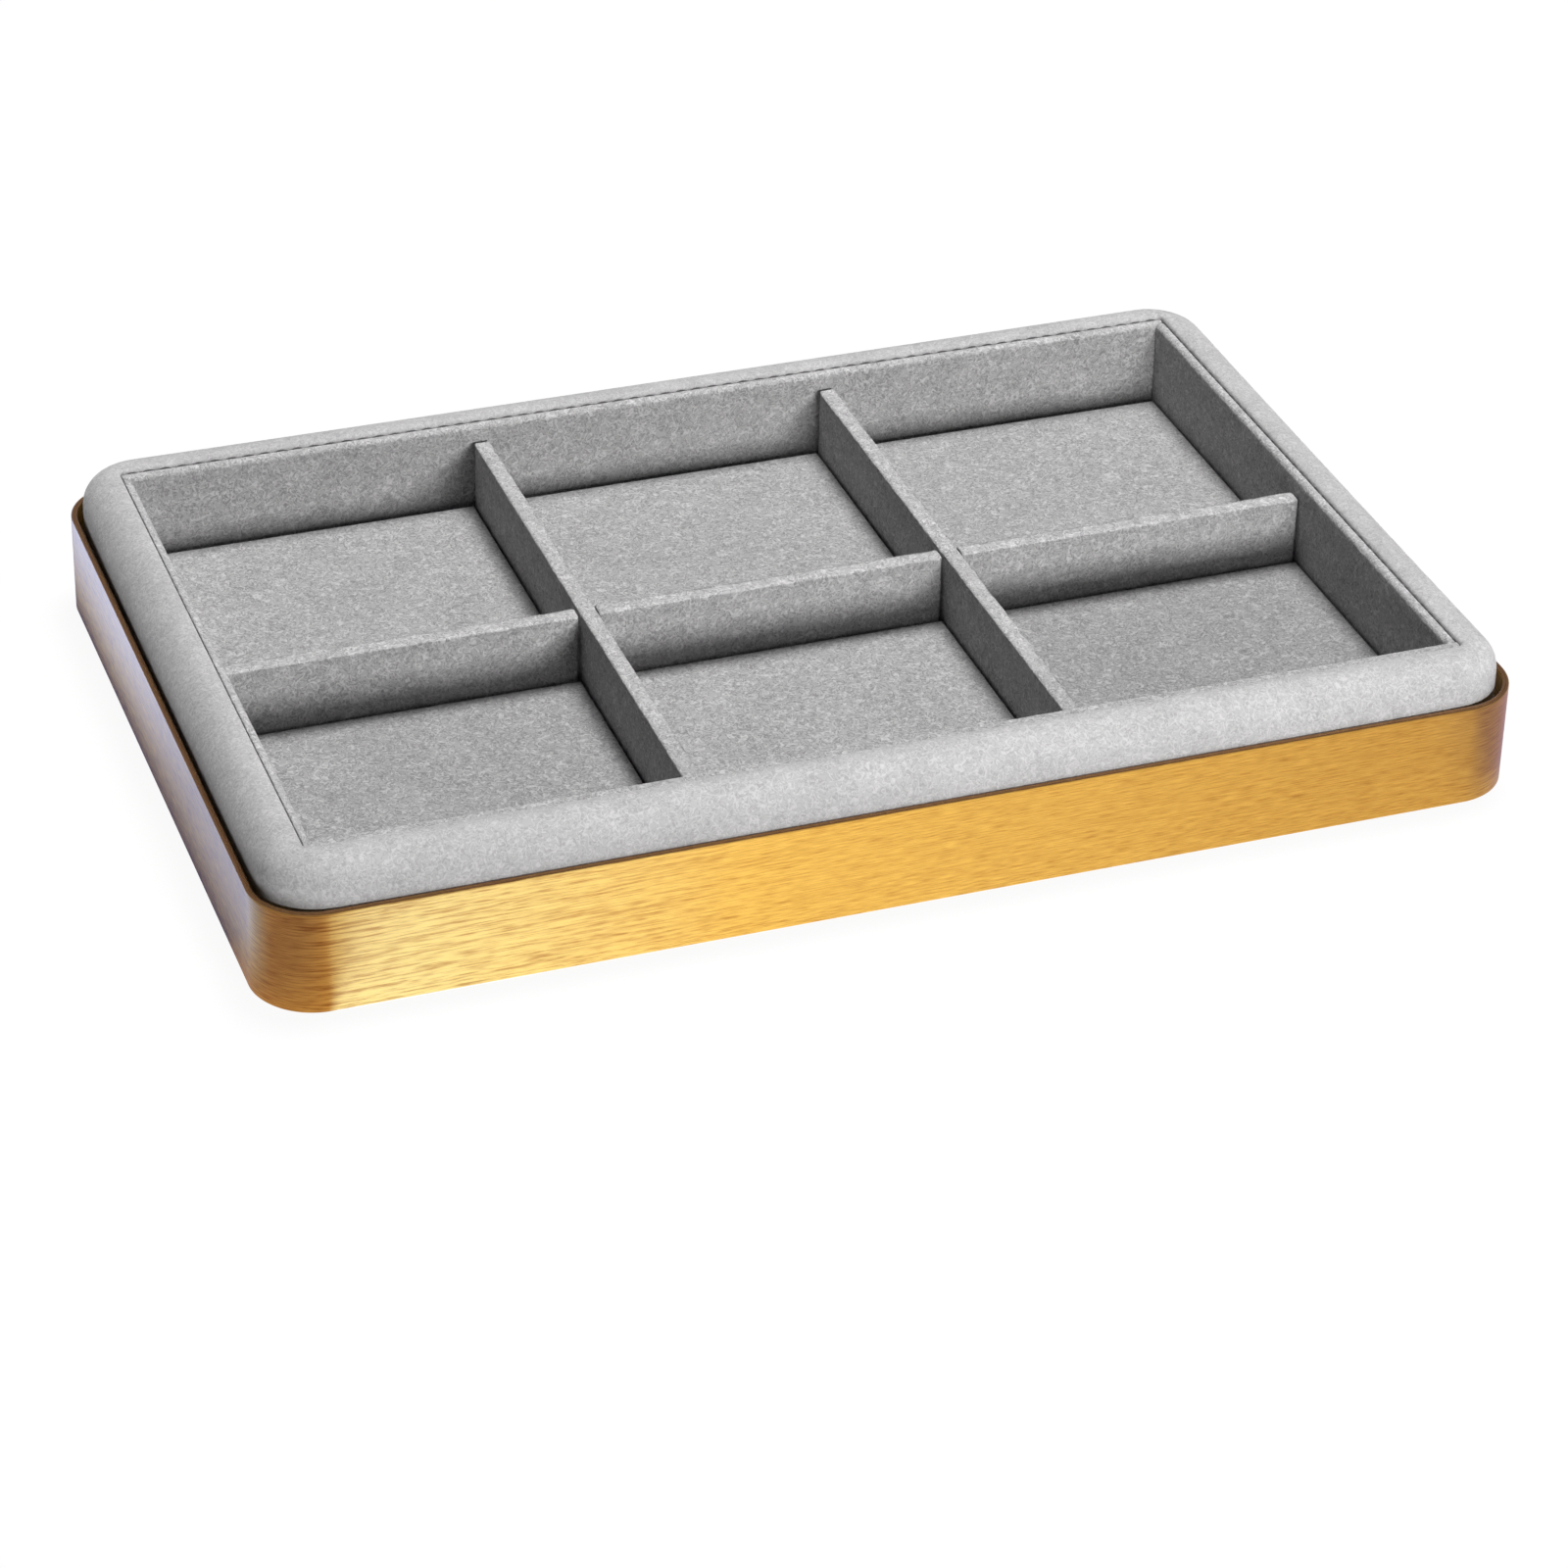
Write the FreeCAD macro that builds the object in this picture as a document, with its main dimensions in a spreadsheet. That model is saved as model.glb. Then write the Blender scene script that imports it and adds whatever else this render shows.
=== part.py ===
import FreeCAD, Part
import math
import os
import Sketcher

# Jewellery tray: a metal band with rounded corners, and a padded microfibre insert with six bays.
# Millimetres, +Z up, +X along the length. The origin is at the middle of the underside.

# Every size that can be set by itself. All others follow from these.
SIZES = {
    # Outer form of the tray and its metal band
    "tray_length": 350.0,
    "tray_width": 230.0,
    "band_height": 29.7,
    "band_wall": 1.8,
    "corner_radius": 17.5,
    "lip_radius": 0.6,
    "flange_width": 9.0,
    "flange_thickness": 1.5,
    # Base inside the band
    "felt_proud": 0.2,
    "board_thickness": 5.0,
    "base_clearance": 0.2,
    # Insert: bottom panel, rim and its microfibre cover
    "insert_side_gap": 1.3,
    "insert_end_gap": 0.6,
    "insert_corner_radius": 20.0,
    "panel_thickness": 4.0,
    "cover_thickness": 1.0,
    "hem_width": 10.0,
    "rim_height": 35.0,
    "rim_width": 11.9,
    "rail_height": 20.0,
    "crown_radius": 8.3,
    "crown_dip": 0.8,
    "crest_flat": 0.4,
    "seam_radius": 0.7,
    # Boards wrapped in microfibre: wall liners, floor pads and dividers
    "wrap_thickness": 0.7,
    "liner_thickness": 2.7,
    "liner_drop": 0.4,
    "liner_edge_radius": 1.6,
    "pad_thickness": 4.1,
    "pad_side_gap": 0.5,
    "pad_end_gap": 2.4,
    "pad_edge_bevel": 0.8,
    "divider_thickness": 4.9,
    "divider_height": 24.3,
    "divider_edge_radius": 0.9,
    "wall_end_gap": 0.5,
    "crossing_gap": 0.5,
    "channel_gap": 0.35,
    # Bays that set where the dividers stand; the right and back bays take what is left
    "left_bay": 100.0,
    "middle_bay": 101.1,
    "front_bay": 91.8,
}


class Size:
    """A length that knows its value and the sheet expression that gives it."""

    def __init__(self, text, value):
        self.text = text
        self.value = value

    def __add__(self, other):
        return Size(f"({self.text} + {other.text})", self.value + other.value)

    def __sub__(self, other):
        return Size(f"({self.text} - {other.text})", self.value - other.value)

    def __neg__(self):
        return Size(f"(-1 * {self.text})", -self.value)

    def __mul__(self, factor):
        return Size(f"({self.text} * {factor})", self.value * factor)

    def __truediv__(self, factor):
        return Size(f"({self.text} / {factor})", self.value / factor)


# An edge whose middle lies above this share of a piece's height belongs to its top
upper_share = 0.75
# How far the foam dips towards the seam, next to its cover
foam_dip_share = 0.7

doc = FreeCAD.newDocument("jewelry_tray")
sheet = doc.addObject("Spreadsheet::Sheet", "Sizes")
for row, (alias, number) in enumerate(SIZES.items(), start=1):
    sheet.set(f"A{row}", alias)
    sheet.set(f"B{row}", str(number))
    sheet.setAlias(f"B{row}", alias)
doc.recompute()

S = {alias: Size(f"Sizes.{alias}", number) for alias, number in SIZES.items()}
ZERO = Size("0", 0.0)

# Heights, from the table up
BAND_FOOT = S["felt_proud"]
BOARD_FOOT = BAND_FOOT + S["flange_thickness"]
INSERT_FOOT = BOARD_FOOT + S["board_thickness"]
PANEL_FOOT = INSERT_FOOT + S["cover_thickness"]
DECK = PANEL_FOOT + S["panel_thickness"]
RAIL_TOP = DECK + S["rail_height"]
CREST = INSERT_FOOT + S["rim_height"]
SEAM = CREST - S["crown_dip"]
CORE_TOP = CREST - S["cover_thickness"]

# Whole lengths and widths of the nested outlines, from the band inwards
WELL_X = S["tray_length"] - S["band_wall"] * 2
WELL_Y = S["tray_width"] - S["band_wall"] * 2
WELL_RADIUS = S["corner_radius"] - S["band_wall"]
FLANGE_OPENING_X = WELL_X - S["flange_width"] * 2
FLANGE_OPENING_Y = WELL_Y - S["flange_width"] * 2
FLANGE_OPENING_RADIUS = WELL_RADIUS - S["flange_width"]
INSERT_X = WELL_X - S["insert_side_gap"] * 2
INSERT_Y = WELL_Y - S["insert_end_gap"] * 2
CORE_X = INSERT_X - S["cover_thickness"] * 2
CORE_Y = INSERT_Y - S["cover_thickness"] * 2
CORE_RADIUS = S["insert_corner_radius"] - S["cover_thickness"]
SEAM_X = INSERT_X - S["rim_width"] * 2
SEAM_Y = INSERT_Y - S["rim_width"] * 2
RAIL_INNER_X = SEAM_X + S["cover_thickness"] * 2
RAIL_INNER_Y = SEAM_Y + S["cover_thickness"] * 2
CREST_REACH = S["rim_width"] - S["crown_radius"] - S["crest_flat"]
WALL_X = SEAM_X - S["liner_thickness"] * 2
WALL_Y = SEAM_Y - S["liner_thickness"] * 2

# Faces of the dividers, from the left and front walls
LONG_LEFT_START = S["left_bay"] - WALL_X / 2
LONG_LEFT_END = LONG_LEFT_START + S["divider_thickness"]
LONG_RIGHT_START = LONG_LEFT_END + S["middle_bay"]
LONG_RIGHT_END = LONG_RIGHT_START + S["divider_thickness"]
SHORT_START = S["front_bay"] - WALL_Y / 2
SHORT_END = SHORT_START + S["divider_thickness"]


def bind(item, prop, size):
    """Tie one property of a document object to the sheet."""
    item.setExpression(prop, size.text)


def place(item, x, y, z):
    """Tie an object's position to the sheet."""
    bind(item, "Placement.Base.x", x)
    bind(item, "Placement.Base.y", y)
    bind(item, "Placement.Base.z", z)


def new_body(label, z, x=ZERO, y=ZERO):
    """Start a body whose own origin stands at the given place."""
    body = doc.addObject("PartDesign::Body", label)
    body.Label = label
    place(body, x, y, z)
    return body


def ground_plane(body):
    """Return the body's own horizontal plane."""
    return next(f for f in body.Origin.OriginFeatures if f.Role == "XY_Plane")


def new_sketch(body, name, lift):
    """Start a sketch on the body's horizontal plane, raised by lift."""
    sketch = body.newObject("Sketcher::SketchObject", f"{body.Name}_{name}")
    sketch.AttachmentSupport = [(ground_plane(body), "")]
    sketch.MapMode = "FlatFace"
    bind(sketch, "AttachmentOffset.Base.z", lift)
    return sketch


def add_distance(sketch, kind, refs, name, size):
    """Add a named dimension to a sketch and tie it to the sheet."""
    index = sketch.addConstraint(Sketcher.Constraint(kind, *refs, size.value))
    sketch.renameConstraint(index, name)
    bind(sketch, f"Constraints.{name}", size)


def draw_rectangle(sketch, size_x, size_y, prefix="side"):
    """Draw a rectangle centred on the sketch's origin."""
    hx = size_x.value / 2
    hy = size_y.value / 2
    corners = [FreeCAD.Vector(x, y, 0) for x, y in ((-hx, -hy), (hx, -hy), (hx, hy), (-hx, hy))]
    first = sketch.GeometryCount
    for start, end in zip(corners, corners[1:] + corners[:1]):
        sketch.addGeometry(Part.LineSegment(start, end), False)
    for k in range(4):
        following = first + (k + 1) % 4
        sketch.addConstraint(Sketcher.Constraint("Coincident", first + k, 2, following, 1))
        direction = "Horizontal" if k % 2 == 0 else "Vertical"
        sketch.addConstraint(Sketcher.Constraint(direction, first + k))
    sketch.addConstraint(Sketcher.Constraint("Symmetric", first, 1, first + 2, 1, -1, 1))
    add_distance(sketch, "DistanceX", (first, 1, first, 2), f"{prefix}_x", size_x)
    add_distance(sketch, "DistanceY", (first + 1, 1, first + 1, 2), f"{prefix}_y", size_y)


def draw_rounded(sketch, size_x, size_y, radius, prefix="round"):
    """Draw a rectangle with rounded corners, centred on the sketch's origin."""
    r = radius.value
    cx = size_x.value / 2 - r
    cy = size_y.value / 2 - r
    turn = math.pi / 2
    up = FreeCAD.Vector(0, 0, 1)
    centres = [(-cx, -cy), (cx, -cy), (cx, cy), (-cx, cy)]
    first = sketch.GeometryCount
    for k, (x, y) in enumerate(centres):
        circle = Part.Circle(FreeCAD.Vector(x, y, 0), up, r)
        sketch.addGeometry(Part.ArcOfCircle(circle, turn * (k + 2), turn * (k + 3)), False)
    ends = [
        ((-cx, -cy - r), (cx, -cy - r)),
        ((cx + r, -cy), (cx + r, cy)),
        ((cx, cy + r), (-cx, cy + r)),
        ((-cx - r, cy), (-cx - r, -cy)),
    ]
    for start, end in ends:
        line = Part.LineSegment(FreeCAD.Vector(*start, 0), FreeCAD.Vector(*end, 0))
        sketch.addGeometry(line, False)
    for k in range(4):
        arc = first + k
        line = first + 4 + k
        following = first + (k + 1) % 4
        sketch.addConstraint(Sketcher.Constraint("Tangent", arc, 2, line, 1))
        sketch.addConstraint(Sketcher.Constraint("Tangent", line, 2, following, 1))
        direction = "Horizontal" if k % 2 == 0 else "Vertical"
        sketch.addConstraint(Sketcher.Constraint(direction, line))
        if k:
            sketch.addConstraint(Sketcher.Constraint("Equal", first, arc))
    sketch.addConstraint(Sketcher.Constraint("Symmetric", first, 3, first + 2, 3, -1, 1))
    add_distance(sketch, "Radius", (first,), f"{prefix}_radius", radius)
    add_distance(sketch, "DistanceX", (first, 3, first + 1, 3), f"{prefix}_x", size_x - radius * 2)
    add_distance(sketch, "DistanceY", (first + 1, 3, first + 2, 3), f"{prefix}_y", size_y - radius * 2)


def add_pad(body, sketch, height):
    """Pad a sketch upwards."""
    pad = body.newObject("PartDesign::Pad", f"{sketch.Name}_pad")
    pad.Profile = sketch
    bind(pad, "Length", height)
    doc.recompute()
    return pad


def add_pocket(body, sketch, depth):
    """Cut a sketch upwards out of the body, and make sure that it cut."""
    before = body.Shape.Volume
    pocket = body.newObject("PartDesign::Pocket", f"{sketch.Name}_pocket")
    pocket.Profile = sketch
    pocket.Reversed = True
    bind(pocket, "Length", depth)
    doc.recompute()
    if not body.Shape.Volume < before:
        raise RuntimeError(f"{pocket.Name} cuts nothing")
    return pocket


def edge_names(base, test):
    """List those edges of a feature that pass a test on their middle point."""
    names = []
    for number, edge in enumerate(base.Shape.Edges, start=1):
        middle = edge.valueAt((edge.FirstParameter + edge.LastParameter) / 2)
        if test(middle):
            names.append(f"Edge{number}")
    return names


def add_fillet(body, base, radius, test):
    """Round those edges of a feature that pass a test on their middle point."""
    fillet = body.newObject("PartDesign::Fillet", f"{base.Name}_round")
    fillet.Base = (base, edge_names(base, test))
    bind(fillet, "Radius", radius)
    doc.recompute()
    return fillet


def add_bevel(body, base, size, test):
    """Bevel those edges of a feature that pass a test on their middle point."""
    bevel = body.newObject("PartDesign::Chamfer", f"{base.Name}_bevel")
    bevel.Base = (base, edge_names(base, test))
    bind(bevel, "Size", size)
    doc.recompute()
    return bevel


def add_slope(body, size_x, size_y, head, run, drop):
    """Slope the top of a rim down towards the opening of the given size."""
    foot = new_sketch(body, "slope_foot", head - drop)
    draw_rectangle(foot, size_x, size_y)
    mouth = new_sketch(body, "slope_mouth", head)
    draw_rectangle(mouth, size_x + run * 2, size_y + run * 2)
    slope = body.newObject("PartDesign::SubtractiveLoft", f"{body.Name}_slope")
    slope.Profile = foot
    slope.Sections = [mouth]
    slope.Ruled = True
    doc.recompute()
    return slope


def new_box(label, x0, x1, y0, y1, z0, z1):
    """Make a box between six planes."""
    box = doc.addObject("Part::Box", label)
    box.Label = label
    bind(box, "Length", x1 - x0)
    bind(box, "Width", y1 - y0)
    bind(box, "Height", z1 - z0)
    place(box, x0, y0, z0)
    return box


def boolean(kind, label, base, tool):
    """Make a boolean of two objects."""
    result = doc.addObject(f"Part::{kind}", label)
    result.Label = label
    result.Base = base
    result.Tool = tool
    doc.recompute()
    return result


def wrapped_board(cover_label, core_label, x_range, y_range, foot, head, ease_edges):
    """Make a board and the microfibre wrapped over its top and round its sides, open below."""
    wrap = S["wrap_thickness"]
    x0, x1 = x_range
    y0, y1 = y_range
    middle_x = (x0 + x1) / 2
    middle_y = (y0 + y1) / 2
    blank = new_body(f"{cover_label}_blank", foot, middle_x, middle_y)
    outline = new_sketch(blank, "outline", ZERO)
    draw_rectangle(outline, x1 - x0, y1 - y0)
    pad = add_pad(blank, outline, head - foot)
    ease_edges(blank, pad)
    core = new_body(core_label, foot, middle_x, middle_y)
    core_outline = new_sketch(core, "outline", ZERO)
    draw_rectangle(core_outline, x1 - x0 - wrap * 2, y1 - y0 - wrap * 2)
    add_pad(core, core_outline, head - foot - wrap)
    cover = boolean("Cut", cover_label, blank, core)
    return [cover, core]


def round_long_edges(radius, sides=(-1, 1)):
    """Return what rounds the long top edges of an upright board, on one side or both."""

    def ease(body, pad):
        box = pad.Shape.BoundBox
        upper = box.ZMax * upper_share
        along_x = box.XLength > box.YLength

        def on_long_side(middle):
            along, across = (middle.x, middle.y) if along_x else (middle.y, middle.x)
            return middle.z > upper and abs(along) < radius.value and any(across * side > 0 for side in sides)

        add_fillet(body, pad, radius, on_long_side)

    return ease


def bevel_top_edges(size):
    """Return what bevels all the top edges of a floor board."""

    def ease(body, pad):
        upper = pad.Shape.BoundBox.ZMax * upper_share
        add_bevel(body, pad, size, lambda middle: middle.z > upper)

    return ease


def make_band():
    """Make the band: a thin wall with rounded corners and a flange turned in at the foot."""
    body = new_body("metal_band", BAND_FOOT)
    outline = new_sketch(body, "outline", ZERO)
    draw_rounded(outline, S["tray_length"], S["tray_width"], S["corner_radius"])
    add_pad(body, outline, S["band_height"])
    well = new_sketch(body, "well", S["flange_thickness"])
    draw_rounded(well, WELL_X, WELL_Y, WELL_RADIUS)
    add_pocket(body, well, S["band_height"] - S["flange_thickness"])
    opening = new_sketch(body, "opening", ZERO)
    draw_rounded(opening, FLANGE_OPENING_X, FLANGE_OPENING_Y, FLANGE_OPENING_RADIUS)
    pocket = add_pocket(body, opening, S["flange_thickness"])
    add_fillet(body, pocket, S["lip_radius"], lambda middle: middle.z > S["band_height"].value * upper_share)
    return [body]


def make_base():
    """Make the board that lies on the flange and the felt under it."""
    slack = S["base_clearance"]
    board = new_body("base_board", BOARD_FOOT)
    board_outline = new_sketch(board, "outline", ZERO)
    draw_rounded(board_outline, WELL_X - slack * 2, WELL_Y - slack * 2, WELL_RADIUS - slack)
    add_pad(board, board_outline, S["board_thickness"])
    felt = new_body("base_felt", ZERO)
    felt_outline = new_sketch(felt, "outline", ZERO)
    felt_x = FLANGE_OPENING_X - slack * 2
    felt_y = FLANGE_OPENING_Y - slack * 2
    draw_rounded(felt_outline, felt_x, felt_y, FLANGE_OPENING_RADIUS - slack)
    add_pad(felt, felt_outline, BOARD_FOOT)
    return [board, felt]


def make_panel():
    """Make the bottom panel of the insert."""
    panel = new_body("insert_panel", PANEL_FOOT)
    outline = new_sketch(panel, "outline", ZERO)
    draw_rounded(outline, CORE_X, CORE_Y, CORE_RADIUS)
    add_pad(panel, outline, S["panel_thickness"])
    return panel


def make_rim(panel):
    """Make the padded rim: rails, foam with a rounded crown, and the cover hemmed under the panel."""
    wrap = S["cover_thickness"]
    blank = new_body("rim_blank", INSERT_FOOT)
    outline = new_sketch(blank, "outline", ZERO)
    draw_rounded(outline, INSERT_X, INSERT_Y, S["insert_corner_radius"])
    pad = add_pad(blank, outline, S["rim_height"])
    upper = S["rim_height"].value * upper_share
    add_fillet(blank, pad, S["crown_radius"], lambda middle: middle.z > upper)
    well = new_sketch(blank, "well", wrap)
    draw_rectangle(well, SEAM_X, SEAM_Y)
    add_pocket(blank, well, S["rim_height"] - wrap)
    reach_x = (SEAM_X / 2 + S["seam_radius"]).value
    reach_y = (SEAM_Y / 2 + S["seam_radius"]).value

    def at_seam(middle):
        return middle.z > upper and abs(middle.x) < reach_x and abs(middle.y) < reach_y

    slope = add_slope(blank, SEAM_X, SEAM_Y, S["rim_height"], CREST_REACH, S["crown_dip"])
    add_fillet(blank, slope, S["seam_radius"], at_seam)
    hem = new_sketch(blank, "hem", ZERO)
    draw_rectangle(hem, INSERT_X - S["hem_width"] * 2, INSERT_Y - S["hem_width"] * 2)
    add_pocket(blank, hem, wrap)

    core = new_body("rim_core", DECK)
    core_outline = new_sketch(core, "outline", ZERO)
    draw_rounded(core_outline, CORE_X, CORE_Y, CORE_RADIUS)
    core_pad = add_pad(core, core_outline, CORE_TOP - DECK)
    core_upper = (CORE_TOP - DECK).value * upper_share
    add_fillet(core, core_pad, S["crown_radius"] - wrap, lambda middle: middle.z > core_upper)
    core_well = new_sketch(core, "well", ZERO)
    draw_rectangle(core_well, RAIL_INNER_X, RAIL_INNER_Y)
    add_pocket(core, core_well, CORE_TOP - DECK)
    foam_dip = S["crown_dip"] * foam_dip_share
    add_slope(core, RAIL_INNER_X, RAIL_INNER_Y, CORE_TOP - DECK, CREST_REACH - wrap, foam_dip)

    above_panel = boolean("Cut", "rim_cover_above_panel", blank, core)
    cover = boolean("Cut", "rim_cover", above_panel, panel)
    foam_space = new_box("foam_space", -CORE_X / 2, CORE_X / 2, -CORE_Y / 2, CORE_Y / 2, RAIL_TOP, CORE_TOP)
    foam = boolean("Common", "rim_foam", core, foam_space)

    half_x = CORE_X / 2
    half_y = CORE_Y / 2
    inner_x = RAIL_INNER_X / 2
    inner_y = RAIL_INNER_Y / 2
    spaces = {
        "front": (-half_x, half_x, -half_y, -inner_y),
        "back": (-half_x, half_x, inner_y, half_y),
        "left": (-half_x, -inner_x, -inner_y, inner_y),
        "right": (inner_x, half_x, -inner_y, inner_y),
    }
    rails = []
    for side, (x0, x1, y0, y1) in spaces.items():
        space = new_box(f"rail_space_{side}", x0, x1, y0, y1, DECK, RAIL_TOP)
        rails.append(boolean("Common", f"rim_rail_{side}", core, space))
    return [cover, foam] + rails


def make_liners():
    """Make the wall liners: front and back run the whole length, the sides stand between them."""
    head = SEAM - S["liner_drop"]
    seam_x = SEAM_X / 2
    seam_y = SEAM_Y / 2
    wall_x = WALL_X / 2
    wall_y = WALL_Y / 2
    walls = {
        "front": ((-seam_x, seam_x), (-seam_y, -wall_y), 1),
        "back": ((-seam_x, seam_x), (wall_y, seam_y), -1),
        "left": ((-seam_x, -wall_x), (-wall_y, wall_y), 1),
        "right": ((wall_x, seam_x), (-wall_y, wall_y), -1),
    }
    made = []
    for side, (x_range, y_range, inward) in walls.items():
        cover = f"liner_{side}_cover"
        card = f"liner_{side}_card"
        ease = round_long_edges(S["liner_edge_radius"], (inward,))
        made += wrapped_board(cover, card, x_range, y_range, DECK, head, ease)
    return made


def make_pads():
    """Make the floor pads, whose gaps are the channels that the dividers stand in."""
    side = S["pad_side_gap"]
    end = S["pad_end_gap"]
    channel = S["channel_gap"]
    columns = {
        "left": (side - WALL_X / 2, LONG_LEFT_START - channel),
        "middle": (LONG_LEFT_END + channel, LONG_RIGHT_START - channel),
        "right": (LONG_RIGHT_END + channel, WALL_X / 2 - side),
    }
    rows = {
        "front": (end - WALL_Y / 2, SHORT_START - channel),
        "back": (SHORT_END + channel, WALL_Y / 2 - end),
    }
    head = DECK + S["pad_thickness"]
    made = []
    for column, x_range in columns.items():
        for row_name, y_range in rows.items():
            cover = f"pad_{column}_{row_name}_cover"
            card = f"pad_{column}_{row_name}_card"
            ease = bevel_top_edges(S["pad_edge_bevel"])
            made += wrapped_board(cover, card, x_range, y_range, DECK, head, ease)
    return made


def make_dividers():
    """Make the two dividers that run front to back and the three short ones between them."""
    end = S["wall_end_gap"]
    gap = S["crossing_gap"]
    long_span = (end - WALL_Y / 2, WALL_Y / 2 - end)
    short_span = (SHORT_START, SHORT_END)
    boards = {
        "long_divider_left": ((LONG_LEFT_START, LONG_LEFT_END), long_span),
        "long_divider_right": ((LONG_RIGHT_START, LONG_RIGHT_END), long_span),
        "short_divider_left": ((end - WALL_X / 2, LONG_LEFT_START - gap), short_span),
        "short_divider_middle": ((LONG_LEFT_END + gap, LONG_RIGHT_START - gap), short_span),
        "short_divider_right": ((LONG_RIGHT_END + gap, WALL_X / 2 - end), short_span),
    }
    head = DECK + S["divider_height"]
    made = []
    for name, (x_range, y_range) in boards.items():
        ease = round_long_edges(S["divider_edge_radius"])
        made += wrapped_board(f"{name}_cover", f"{name}_board", x_range, y_range, DECK, head, ease)
    return made


def check_document(pieces):
    """Stop if any object failed or any piece is not one valid solid."""
    doc.recompute()
    for item in doc.Objects:
        if "Invalid" in item.State or "Error" in item.State:
            raise RuntimeError(f"{item.Label} failed: {item.State}")
    for piece in pieces:
        shape = piece.Shape
        if shape.isNull() or not shape.isValid() or len(shape.Solids) != 1:
            raise RuntimeError(f"{piece.Label} is not one valid solid")


insert_panel = make_panel()
pieces = make_band() + make_base() + [insert_panel] + make_rim(insert_panel)
pieces += make_liners() + make_pads() + make_dividers()
check_document(pieces)
os.makedirs("parts", exist_ok=True)
for piece in pieces:
    piece.Shape.exportStep(f"parts/{piece.Label}.step")
    print(piece.Label, round(piece.Shape.Volume), "mm3")
print(len(pieces), "pieces")
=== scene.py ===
import logging
import math
from dataclasses import dataclass, field, replace
from enum import Enum
from typing import Any, Sequence

import bpy
import numpy as np
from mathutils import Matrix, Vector, noise


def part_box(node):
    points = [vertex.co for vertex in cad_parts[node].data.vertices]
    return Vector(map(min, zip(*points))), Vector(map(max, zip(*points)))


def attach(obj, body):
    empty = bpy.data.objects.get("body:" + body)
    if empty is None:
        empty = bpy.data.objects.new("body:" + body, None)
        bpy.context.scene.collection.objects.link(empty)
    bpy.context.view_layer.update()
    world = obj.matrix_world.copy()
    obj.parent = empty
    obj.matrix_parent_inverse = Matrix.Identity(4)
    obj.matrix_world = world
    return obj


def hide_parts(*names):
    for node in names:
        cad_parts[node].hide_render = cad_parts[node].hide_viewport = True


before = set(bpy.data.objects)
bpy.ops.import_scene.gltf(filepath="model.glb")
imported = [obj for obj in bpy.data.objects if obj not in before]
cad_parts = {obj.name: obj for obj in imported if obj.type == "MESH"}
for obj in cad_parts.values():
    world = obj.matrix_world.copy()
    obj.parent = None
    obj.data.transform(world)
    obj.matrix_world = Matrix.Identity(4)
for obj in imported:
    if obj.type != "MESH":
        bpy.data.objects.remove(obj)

MM = 0.001
SHARPEST = 0.2 * MM
BROAD_WAVE, FINE_WAVE = 4.0 * MM, 1.7 * MM
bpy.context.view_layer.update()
log = logging.getLogger("jewelry_tray")

Colour = tuple[float, float, float, float]


class Sock:
    """A shader value that takes part in Python sums and products."""

    def __init__(self, shader: "Shader", link: bpy.types.NodeSocket) -> None:
        """Keep the socket and the material it belongs to."""
        self.shader = shader
        self.link = link

    def _math(self, operation: str, first: Any, second: Any = 0.0) -> "Sock":
        """Add one Math node.

        Args:
            operation: The Math node's operation.
            first: Its first value or link.
            second: Its second value or link.

        Returns:
            The node's result.
        """
        return self.shader.node("ShaderNodeMath", {"operation": operation}, {0: first, 1: second})

    def __add__(self, other: Any) -> "Sock":
        """Return self + other."""
        return self._math("ADD", self, other)

    def __radd__(self, other: Any) -> "Sock":
        """Return other + self."""
        return self._math("ADD", other, self)

    def __sub__(self, other: Any) -> "Sock":
        """Return self - other."""
        return self._math("SUBTRACT", self, other)

    def __rsub__(self, other: Any) -> "Sock":
        """Return other - self."""
        return self._math("SUBTRACT", other, self)

    def __mul__(self, other: Any) -> "Sock":
        """Return self * other."""
        return self._math("MULTIPLY", self, other)

    def __rmul__(self, other: Any) -> "Sock":
        """Return other * self."""
        return self._math("MULTIPLY", other, self)

    def __truediv__(self, other: Any) -> "Sock":
        """Return self / other."""
        return self._math("DIVIDE", self, other)

    def __rtruediv__(self, other: Any) -> "Sock":
        """Return other / self."""
        return self._math("DIVIDE", other, self)

    def __abs__(self) -> "Sock":
        """Return the size of self without its sign."""
        return self._math("ABSOLUTE", self)

    def clamp(self) -> "Sock":
        """Return self held between 0 and 1."""
        return self.shader.node("ShaderNodeClamp", {}, {0: self})

    def rise(self, start: float, length: float) -> "Sock":
        """Return a slope from 0 to 1, level on both sides of it.

        Args:
            start: Where it leaves 0.
            length: How far on it comes to 1, below 0 for a slope the other way.

        Returns:
            The slope.
        """
        return ((self - start) / length).clamp()


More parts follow.
